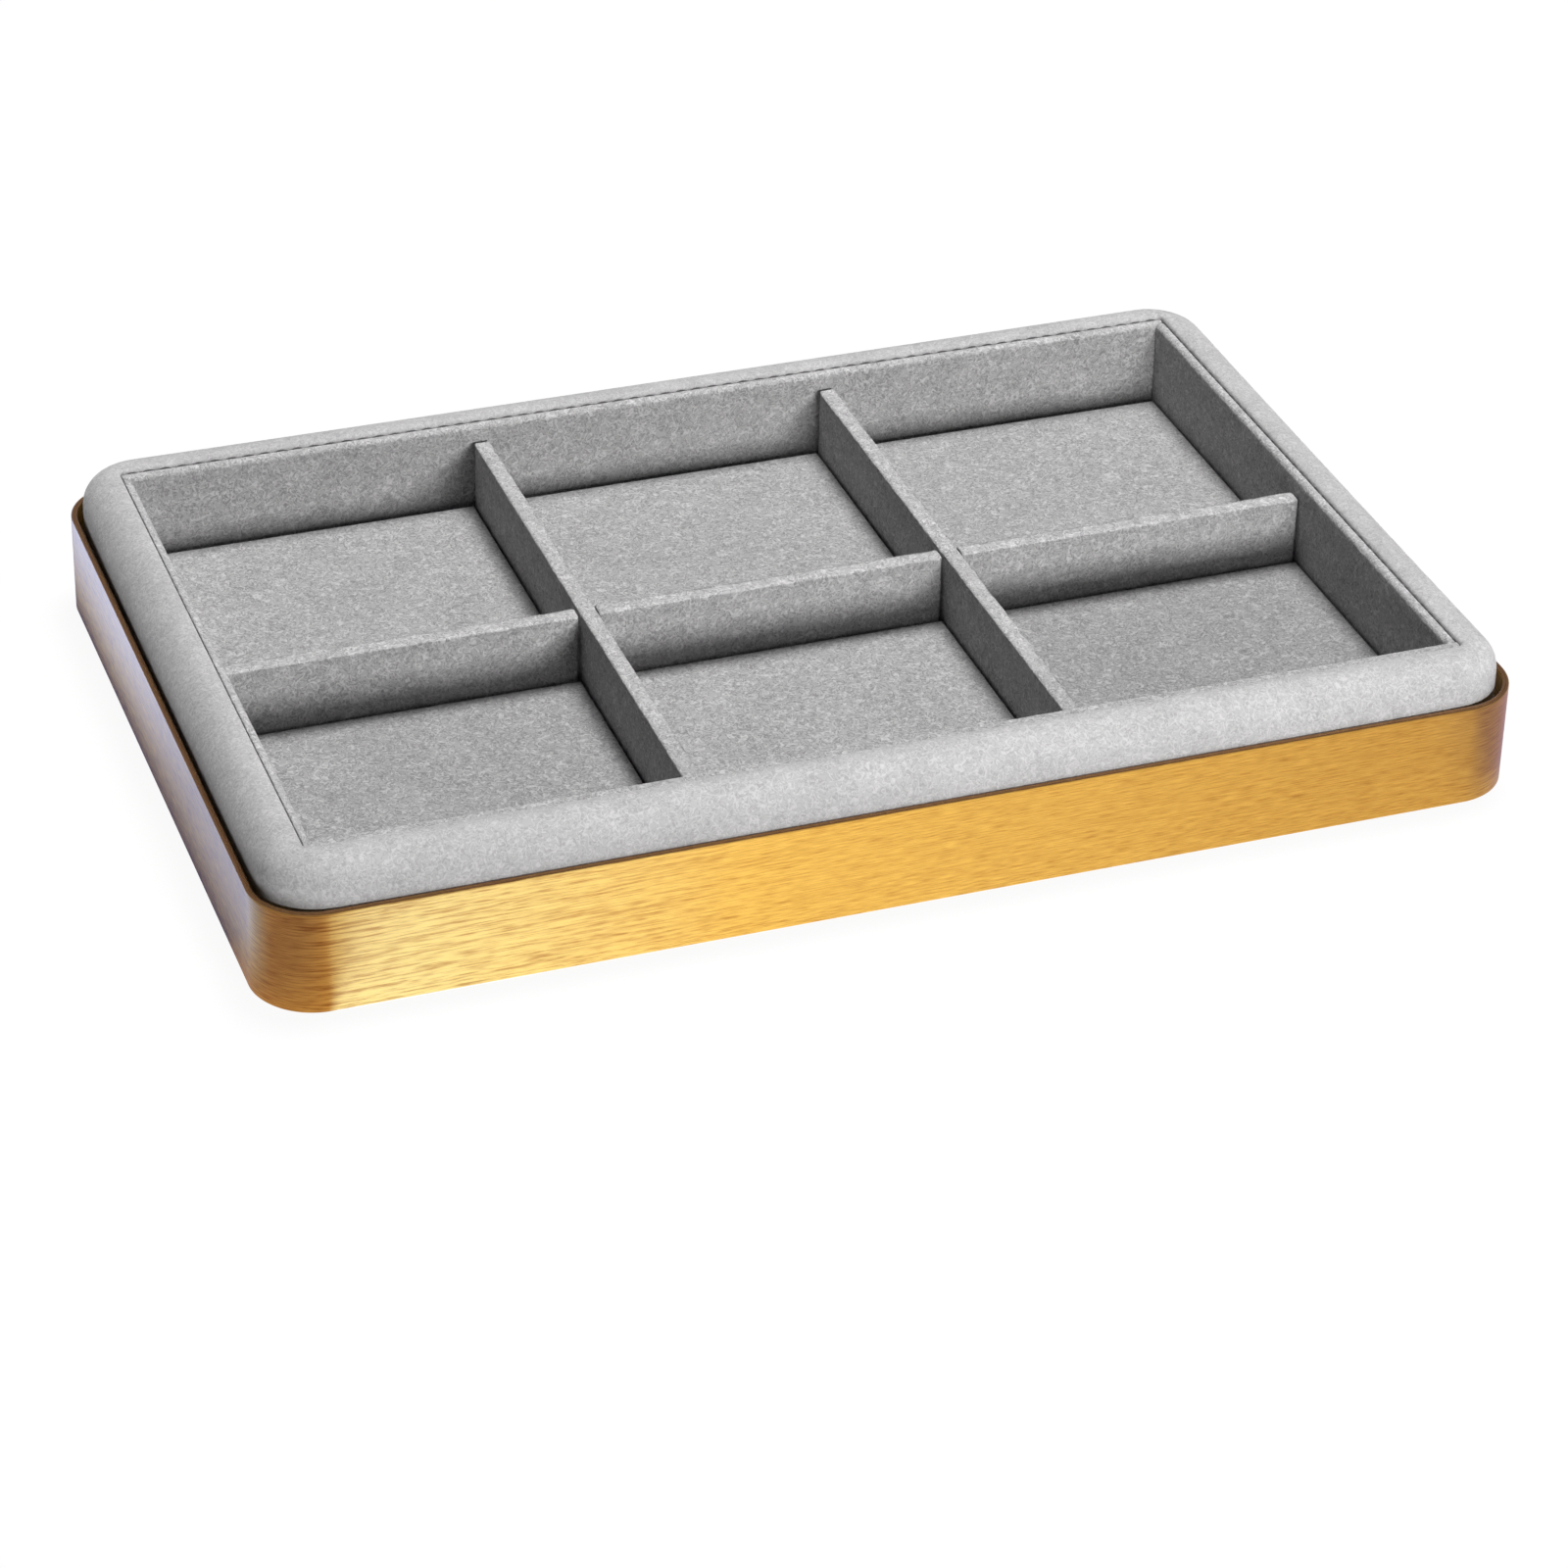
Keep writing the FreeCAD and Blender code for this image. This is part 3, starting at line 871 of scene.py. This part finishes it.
@dataclass
class PaddedRim:
    """The padded rim: foam on rails under a stretched microfibre cover, and its seam."""

    dresser: Dresser
    width: float = 11.9 * MM
    corner_radius: float = 17.0 * MM
    crown_radius: float = 8.3 * MM
    crown_dip: float = 0.8 * MM
    seam_corner: float = 0.7 * MM
    cover: float = 0.9 * MM
    hem: float = 10.0 * MM
    swell: float = 0.5 * MM
    stitch_pitch: float = 4.8 * MM
    stitch_length: float = 3.7 * MM
    stitch_radius: float = 0.28 * MM
    stitch_margin: float = 1.0 * MM
    stitch_wander: float = 0.1 * MM
    stitch_taper: float = 0.85
    stitch_dip: float = 0.3 * MM
    stitch_drop: float = 0.40 * MM
    front_stitch_drop: float = 0.35 * MM
    seam_gap: float = 0.05 * MM
    seam_depths: tuple[float, ...] = (9.0 * MM, 4.0 * MM, 1.8 * MM)
    seam_roll: tuple[tuple[float, float], ...] = (
        (0.08 * MM, -0.6 * MM), (0.24 * MM, -0.05 * MM), (0.55 * MM, 0.34 * MM),
        (1.0 * MM, 0.58 * MM), (1.7 * MM, 0.72 * MM), (2.7 * MM, 0.79 * MM))
    crown_steps: int = 10
    flank: tuple[float, ...] = (21.0 * MM, 16.0 * MM, 10.0 * MM, 5.0 * MM, 2.0 * MM)
    hem_roll: tuple[tuple[float, float], ...] = (
        (0.15 * MM, 0.6 * MM), (0.5 * MM, 0.15 * MM), (1.1 * MM, 0.0), (4.0 * MM, 0.0),
        (7.5 * MM, 0.0))
    held_rings: int = 7
    held_flank: float = 18.0 * MM
    pressure: float = 4.0
    frames: int = 20
    foam_skin: float = 1.0 * MM
    foam_steps: int = 8

    def build(self) -> None:
        """Build and dress the rim's pieces."""
        self._cover()
        self._foam()
        self._stitches()
        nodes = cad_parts
        for side in ("front", "back"):
            self.dresser.dress(nodes[f"rim_rail_{side}"], RAIL_X, "rail_wood")
        for side in ("left", "right"):
            self.dresser.dress(nodes[f"rim_rail_{side}"], RAIL_Y, "rail_wood")
        # Painted shade: the insert panel is near black so the gaps beside the pads look dark.
        self.dresser.dress(nodes["insert_panel"], GAP_SHADE_BOARD, "fibreboard")

    def _ring(self, inset: float, z: float) -> Ring:
        """Return the rim's outline at an inset from its outside.

        Args:
            inset: Distance from the outside.
            z: Height.

        Returns:
            The ring, whose corner sharpens towards the seam.
        """
        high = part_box("rim_cover")[1]
        at_crown = self.corner_radius - self.crown_radius
        if inset <= self.crown_radius:
            radius = self.corner_radius - inset
        else:
            share = min((inset - self.crown_radius) / (self.width - self.crown_radius), 1.0)
            radius = at_crown + (self.seam_corner - at_crown) * share
        return Ring(high.x - inset, high.y - inset, radius, z)

    def _section(self) -> list[tuple[float, float]]:
        """Return the rim's section from the seam over the crown to the hem.

        Returns:
            Pairs of inset and height.
        """
        low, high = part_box("rim_cover")
        crest, foot, w, c = high.z, low.z, self.width, self.crown_radius
        seam = crest - self.crown_dip
        section = [(w - self.seam_gap, seam - depth) for depth in self.seam_depths]
        section += [(w - inset, seam + rise) for inset, rise in self.seam_roll]
        for k in range(self.crown_steps + 1):
            turn = math.radians(90 - 90 * k / self.crown_steps)
            section.append((c - c * math.cos(turn), crest - c + c * math.sin(turn)))
        section += [(0.0, foot + rise) for rise in self.flank]
        section += [(inset, foot + rise) for inset, rise in self.hem_roll]
        return section + [(self.hem, foot)]

    def _cover(self) -> None:
        """Make the cover, let it swell over its foam and give it its thickness."""
        section = self._section()
        steps = Steps(68, 44, 14)
        rim = sweep("rim_cushion", [self._ring(d, z) for d, z in section], steps, False)
        free_from = section[-1][1] + self.held_flank
        held = [k for k, (_, z) in enumerate(section) if k < self.held_rings or z < free_from]
        self._settle(rim, [k * steps.total + j for k in held for j in range(steps.total)])
        thick = rim.modifiers.new("thickness", "SOLIDIFY")
        thick.thickness = self.cover
        thick.offset = -1.0
        smooth = rim.modifiers.new("smooth", "SUBSURF")
        smooth.levels = 1
        smooth.render_levels = 1
        self.dresser.dress(rim, STRETCHED, "microfibre")
        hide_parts("rim_cover")
        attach(rim, "insert")
        log.info("rim_cushion: %d points", len(rim.data.vertices))

    def _settle(self, rim: bpy.types.Object, held: Sequence[int]) -> None:
        """Swell the cover by a short cloth simulation and keep the result.

        Args:
            rim: The cover.
            held: Points that stay where they are.
        """
        count = len(rim.data.vertices)
        rest = np.zeros(count * 3)
        rim.data.vertices.foreach_get("co", rest)
        group = rim.vertex_groups.new(name="held")
        group.add(list(held), 1.0, "REPLACE")
        cloth = rim.modifiers.new("swell", "CLOTH")
        cloth.settings.quality = 5
        cloth.settings.vertex_group_mass = group.name
        cloth.settings.use_pressure = True
        cloth.settings.uniform_pressure_force = self.pressure
        cloth.settings.effector_weights.gravity = 0.0
        scene = bpy.context.scene
        for number in range(1, self.frames + 1):
            scene.frame_set(number)
        shaped = rim.evaluated_get(bpy.context.evaluated_depsgraph_get())
        moved = np.zeros(count * 3)
        shaped.data.vertices.foreach_get("co", moved)
        shift = (moved - rest).reshape(-1, 3)
        far = np.linalg.norm(shift, axis=1, keepdims=True)
        log.info("rim_cushion: cloth moved by up to %.2f mm", far.max() / MM)
        shift *= np.minimum(1.0, self.swell / np.maximum(far, 1e-9))
        rim.modifiers.remove(cloth)
        rim.vertex_groups.remove(group)
        rim.data.vertices.foreach_set("co", rest + shift.ravel())
        rim.data.update()
        scene.frame_set(1)

    def _foam(self) -> None:
        """Make the foam ring that lies on the rails under the cover."""
        low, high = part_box("rim_foam")
        skin, c = self.foam_skin, self.crown_radius - self.foam_skin
        section = [(self.width - skin, low.z), (self.width - skin, high.z - self.crown_dip)]
        for k in range(self.foam_steps + 1):
            turn = math.radians(90 - 90 * k / self.foam_steps)
            section.append((skin + c - c * math.cos(turn), high.z - c + c * math.sin(turn)))
        section.append((skin, low.z))
        rings = [self._ring(d, z) for d, z in section]
        foam = sweep("rim_foam_ring", rings, Steps(34, 22, 8), True)
        crease_by_angle(foam, 50.0)
        self.dresser.dress(foam, FOAM, "foam")
        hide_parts("rim_foam")
        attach(foam, "insert")
        log.info("rim_foam_ring: %d points", len(foam.data.vertices))

    def _stitches(self) -> None:
        """Sew the row of stitches that lies in the seam between the rim and the wall liners."""
        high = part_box("rim_cover")[1]
        half = (high.x - self.width, high.y - self.width)
        z = high.z - self.crown_dip - self.stitch_drop
        points: list[Vector] = []
        faces: list[tuple[int, ...]] = []
        for axis in range(2):
            reach = half[axis] - self.stitch_margin
            count = int(2 * reach / self.stitch_pitch)
            for side in (-1.0, 1.0):
                for k in range(count):
                    along = -reach + 2 * reach * (k + 0.5) / count
                    wander = noise.noise(Vector((along * 700.0, side, axis)))
                    hidden = self.front_stitch_drop if axis == 0 and side < 0 else 0.0
                    middle = Vector((0.0, 0.0, z + wander * self.stitch_wander - hidden))
                    middle[axis] = along
                    middle[1 - axis] = side * half[1 - axis]
                    self._stitch(points, faces, middle, axis)
        thread = new_object("rim_stitching", points, faces)
        self.dresser.dress(thread, THREAD, "microfibre")
        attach(thread, "insert")
        log.info("rim_stitching: %d points", len(points))

    def _stitch(self, points: list[Vector], faces: list[tuple[int, ...]], middle: Vector,
                axis: int) -> None:
        """Add one stitch: a short thread that dips into the cloth at both ends.

        Args:
            points: Points made so far.
            faces: Faces made so far.
            middle: Middle of the stitch.
            axis: 0 for a stitch along X, 1 along Y.
        """
        sides, rows, first = 6, 5, len(points)
        for row in range(rows):
            t = row / (rows - 1) * 2 - 1
            thick = self.stitch_radius * math.sqrt(max(1.0 - self.stitch_taper * t * t, 0.0))
            for k in range(sides):
                turn = math.tau * k / sides
                offset = Vector((0.0, 0.0, thick * math.sin(turn) - self.stitch_dip * t * t))
                offset[axis] = t * self.stitch_length / 2
                offset[1 - axis] = thick * math.cos(turn)
                points.append(middle + offset)
        for row in range(rows - 1):
            for k in range(sides):
                a, b = first + row * sides + k, first + row * sides + (k + 1) % sides
                faces.append((a, b, b + sides, a + sides))
        faces.append(tuple(first + k for k in reversed(range(sides))))
        faces.append(tuple(first + (rows - 1) * sides + k for k in range(sides)))


@dataclass
class WallLiners:
    """The four wall boards of the insert, each in its microfibre wrap."""

    dresser: Dresser
    seam_edge: float = 0.35 * MM
    tuck: float = 0.6 * MM
    rise: float = 0.35 * MM
    step: float = 2.4 * MM
    uneven: float = 0.05 * MM

    def _edges(self, axis: int, inward: int, turn: float) -> Edges:
        """Return a liner's radii: large where its face turns over at the top, small at the seam.

        Args:
            axis: Axis that its face looks along.
            inward: 1 if the face looks towards higher values, otherwise -1.
            turn: Radius where the face turns over.

        Returns:
            The radii.
        """
        low = [self.seam_edge] * 3
        high = [self.seam_edge, self.seam_edge, turn]
        (high if inward > 0 else low)[axis] = turn
        return Edges(tuple(low), tuple(high))

    def build(self) -> None:
        """Build and dress the liners."""
        walls = {
            "front": (1, 1, 0.5 * MM), "back": (1, -1, 1.6 * MM),
            "left": (0, 1, 1.8 * MM), "right": (0, -1, 1.5 * MM),
        }
        for side, (axis, inward, turn) in walls.items():
            low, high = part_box(f"liner_{side}_cover")
            if side == "front":
                low.y -= self.tuck
                high.z += self.rise
            edges = self._edges(axis, inward, turn)
            wrap = wrapped_board(f"liner_{side}_wrap", low, high, edges, self.step, self.uneven)
            self.dresser.dress(wrap, MICROFIBRE, "microfibre")
            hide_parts(f"liner_{side}_cover")
            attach(wrap, "insert")
            self.dresser.dress(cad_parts[f"liner_{side}_card"], GREYBOARD, "greyboard")
            log.info("liner_%s_wrap: %d points", side, len(wrap.data.vertices))


@dataclass
class FloorPads:
    """The six floor boards of the bays, each in its microfibre wrap."""

    dresser: Dresser
    edge: float = 0.45 * MM
    step: float = 2.6 * MM
    uneven: float = 0.05 * MM
    # Pads with stronger painted shade; all other pads get the floor's general painted shade.
    shaded_pads: dict[str, PadShade] = field(default_factory=lambda: {
        "pad_left_front": PadShade.SHADED_FRONT_LEFT, "pad_right_front": PadShade.SHADED_FRONT_RIGHT})

    def build(self) -> None:
        """Build and dress the pads."""
        for column in ("left", "middle", "right"):
            for row in ("front", "back"):
                place = f"pad_{column}_{row}"
                low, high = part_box(f"{place}_cover")
                edges = Edges((self.edge,) * 3, (self.edge,) * 3)
                wrap = wrapped_board(f"{place}_wrap", low, high, edges, self.step, self.uneven)
                # Painted shade: the pad's microfibre colours are darkened by its factor.
                nap = self.shaded_pads.get(place, PadShade.ALONG)
                self.dresser.dress(wrap, MICROFIBRE.painted_shade_copy(nap), "microfibre")
                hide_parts(f"{place}_cover")
                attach(wrap, "insert")
                self.dresser.dress(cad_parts[f"{place}_card"], GREYBOARD, "greyboard")
                log.info("%s_wrap: %d points", place, len(wrap.data.vertices))


@dataclass
class Dividers:
    """The five lift-out dividers, each a board in a microfibre sleeve."""

    dresser: Dresser
    edge: float = 0.8 * MM
    soft: float = 1.3 * MM
    crisp: float = 0.2 * MM
    end: float = 2.4 * MM
    foot: float = 0.2 * MM
    reach: float = 0.45 * MM
    step: float = 0.8 * MM
    uneven: float = 0.24 * MM

    def build(self) -> None:
        """Build and dress the dividers."""
        names = ["long_divider_left", "long_divider_right"]
        names += ["short_divider_left", "short_divider_middle", "short_divider_right"]
        for name in names:
            low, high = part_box(f"{name}_cover")
            if name.startswith("long"):
                edges = Edges((self.soft, self.end, self.foot), (self.crisp, self.end, self.edge))
            else:
                edges = Edges((self.foot, self.soft, self.foot),
                              (self.end / 2, self.crisp, self.edge))
                low.x -= self.reach
            sleeve = wrapped_board(f"{name}_sleeve", low, high, edges, self.step, self.uneven)
            self.dresser.dress(sleeve, MICROFIBRE, "microfibre")
            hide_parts(f"{name}_cover")
            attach(sleeve, name)
            self.dresser.dress(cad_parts[f"{name}_board"], HARDBOARD, "hardboard")
            log.info("%s_sleeve: %d points", name, len(sleeve.data.vertices))


@dataclass(frozen=True)
class FloorMirror:
    """Painted light on the floor, which glows only to reflections so that the metal mirrors it,
    placed from the tray's front left corner.
    """

    corner: tuple[float, float] = (-0.159, -0.115)
    slant: float = 0.36
    fade: float = 0.003
    turn: float = 0.027
    turn_dark: Colour = (0.36, 0.24, 0.32, 1.0)
    turn_light: Colour = (0.86, 0.60, 0.42, 1.0)
    # Painted light: warm whites that the front of the band mirrors, brightest towards its left
    # end.
    front_dim: Colour = (1.15, 0.98, 0.70, 1.0)
    front_bright: Colour = (1.78, 1.70, 1.24, 1.0)
    right_end: Colour = (0.46, 0.36, 0.60, 1.0)
    # Painted highlight: the pale patch that the left end of the front mirrors.
    left_end: Colour = (1.95, 2.5, 3.6, 1.0)
    # Painted shadow: the cool floor is dark next to the band's foot.
    side_foot: Colour = (0.06, 0.08, 0.28, 1.0)
    side_clear: Colour = (1.44, 1.90, 3.3, 1.0)
    side_least: float = 0.6

    def colour(self, s: Shader) -> Sock:
        """Return the colour at each place of the floor.

        Args:
            s: The floor's material.

        Returns:
            Painted light and shade for the band to mirror: a warm white in front that dims to the
            right and round the corner, with a painted highlight at the left end of the front, and
            a cool white on the left that darkens towards the band's foot as painted shadow.
        """
        across, back = s.part(s.coords(), 0), s.part(s.coords(), 1)
        along = across + (back - self.corner[1]) * self.slant
        turning = along.rise(self.corner[0] - self.turn, self.turn)
        rounded = s.blend(turning, self.turn_dark, self.turn_light)
        front = s.blend(along.rise(0.14, -0.19), self.front_dim, self.front_bright)
        before = back.rise(-0.04, -0.03)
        front = s.blend(along.rise(0.152, 0.035) * before, front, self.right_end)
        front = s.blend(along.rise(-0.05, -0.09) * before, front, self.left_end)
        warm = s.blend(along.rise(self.corner[0], self.fade), rounded, front)
        clear = across.rise(-0.178, -0.014) * across.rise(-0.235, 0.03)
        clear = clear * (self.side_least + back.rise(0.0, 0.08) * (1.0 - self.side_least))
        cool = s.blend(clear, self.side_foot, self.side_clear)
        left = back.rise(self.corner[1] + 0.008, 0.035) * across.rise(-0.17, -0.004)
        return s.blend(left, warm, cool)


@dataclass(frozen=True)
class SoftLight:
    """A rectangular light: its place, what it points at, its size, watts and spread in degrees."""

    name: str
    place: tuple[float, float, float]
    aim: tuple[float, float, float]
    size: tuple[float, float]
    power: float
    spread: float = 180.0

    def hang(self) -> None:
        """Hang the light where the metal doesn't mirror it."""
        data = bpy.data.lights.new(self.name, "AREA")
        data.shape = "RECTANGLE"
        data.size, data.size_y = self.size
        data.energy = self.power
        data.spread = math.radians(self.spread)
        lamp = bpy.data.objects.new(self.name, data)
        lamp.location = self.place
        way = Vector(self.aim) - Vector(self.place)
        lamp.rotation_euler = way.to_track_quat("-Z", "Y").to_euler()
        lamp.visible_glossy = False
        bpy.context.scene.collection.objects.link(lamp)


LIGHTS = (
    SoftLight("overhead_softbox", (0.40, 0.43, 2.40), (0.0, 0.0, 0.03), (0.80, 0.84), 79.5),
    SoftLight("front_strip", (0.18, -1.30, 0.258), (0.14, 0.0, 0.03), (0.30, 0.11), 3.4, 90.0),
    SoftLight("left_fill", (-1.00, 0.30, 0.035), (0.0, 0.05, 0.035), (0.8, 0.05), 0.6),
)


@dataclass
class Studio:
    """Camera, floor, soft lights and world."""

    image: int = 1600
    focal: float = 5013.34
    axis_u: float = 751.04
    axis_v: float = 587.41
    place: tuple[float, float, float] = (-0.40683, -1.09876, 0.71731)
    turn: tuple[float, float, float] = (59.7765, -0.9298, -19.2778)
    half: float = 4.0
    paint: Colour = (0.85, 0.85, 0.85, 1.0)
    glow: Colour = (1.0, 1.0, 1.0, 1.0)
    glow_share: float = 0.94
    room: Colour = (0.02, 0.02, 0.021, 1.0)
    mirrored: Colour = (0.35, 0.35, 0.36, 1.0)
    backdrop: Colour = (0.97, 0.97, 0.97, 1.0)

    def build(self) -> None:
        """Set up the camera, floor, lights and world."""
        self._camera()
        self._floor()
        for light in LIGHTS:
            light.hang()
        self._world()

    def _camera(self) -> None:
        """Place the camera where the photograph was taken from."""
        data = bpy.data.cameras.new("camera")
        data.sensor_width = 36.0
        data.lens = self.focal / self.image * data.sensor_width
        data.shift_x = (self.image / 2 - self.axis_u) / self.image
        data.shift_y = (self.axis_v - self.image / 2) / self.image
        data.clip_start = 0.01
        camera = bpy.data.objects.new("camera", data)
        bpy.context.scene.collection.objects.link(camera)
        camera.location = self.place
        camera.rotation_euler = [math.radians(angle) for angle in self.turn]
        bpy.context.scene.camera = camera

    def _floor(self) -> None:
        """Lay a pale floor that reads as white and keeps a faint shadow, and that glows with
        painted light only to reflections.
        """
        s = Shader("studio_floor")
        seen, gloss = s.ray("Is Camera Ray"), s.ray("Is Glossy Ray")
        paint = s.node("ShaderNodeBsdfDiffuse", {}, {"Color": self.paint})
        # Painted light: reflections see the floor glow in these colours.
        tones = FloorMirror().colour(s)
        mirrored = s.node("ShaderNodeEmission", {}, {"Color": tones, "Strength": 1.0})
        ground = s.node("ShaderNodeMixShader", {}, {0: gloss, 1: paint, 2: mirrored})
        glow = s.node("ShaderNodeEmission", {}, {"Color": self.glow, "Strength": 1.0})
        share = seen * self.glow_share
        s.send(s.node("ShaderNodeMixShader", {}, {0: share, 1: ground, 2: glow}))
        sides = ((-1, -1), (1, -1), (1, 1), (-1, 1))
        corners = [Vector((x * self.half, y * self.half, 0.0)) for x, y in sides]
        floor = new_object("studio_floor", corners, [(0, 1, 2, 3)])
        floor.data.materials.append(s.material)

    def _world(self) -> None:
        """Give the room a low, even level of light."""
        s = Shader("studio", True)
        seen, gloss = s.ray("Is Camera Ray"), s.ray("Is Glossy Ray")
        room = s.node("ShaderNodeBackground", {}, {"Color": self.room})
        mirrored = s.node("ShaderNodeBackground", {}, {"Color": self.mirrored})
        backdrop = s.node("ShaderNodeBackground", {}, {"Color": self.backdrop})
        unseen = s.node("ShaderNodeMixShader", {}, {0: gloss, 1: room, 2: mirrored})
        s.send(s.node("ShaderNodeMixShader", {}, {0: seen, 1: unseen, 2: backdrop}))
        bpy.context.scene.world = s.material
        bpy.context.scene.view_settings.view_transform = "Standard"


def main() -> None:
    """Build the tray piece by piece and light it."""
    logging.basicConfig(level=logging.INFO, format="%(name)s: %(message)s")
    dresser = Dresser()
    for assembly in (MetalFrame, PaddedRim, WallLiners, FloorPads, Dividers):
        assembly(dresser).build()
        log.info("%s built", assembly.__name__)
    Studio().build()


if __name__ == "__main__":
    main()
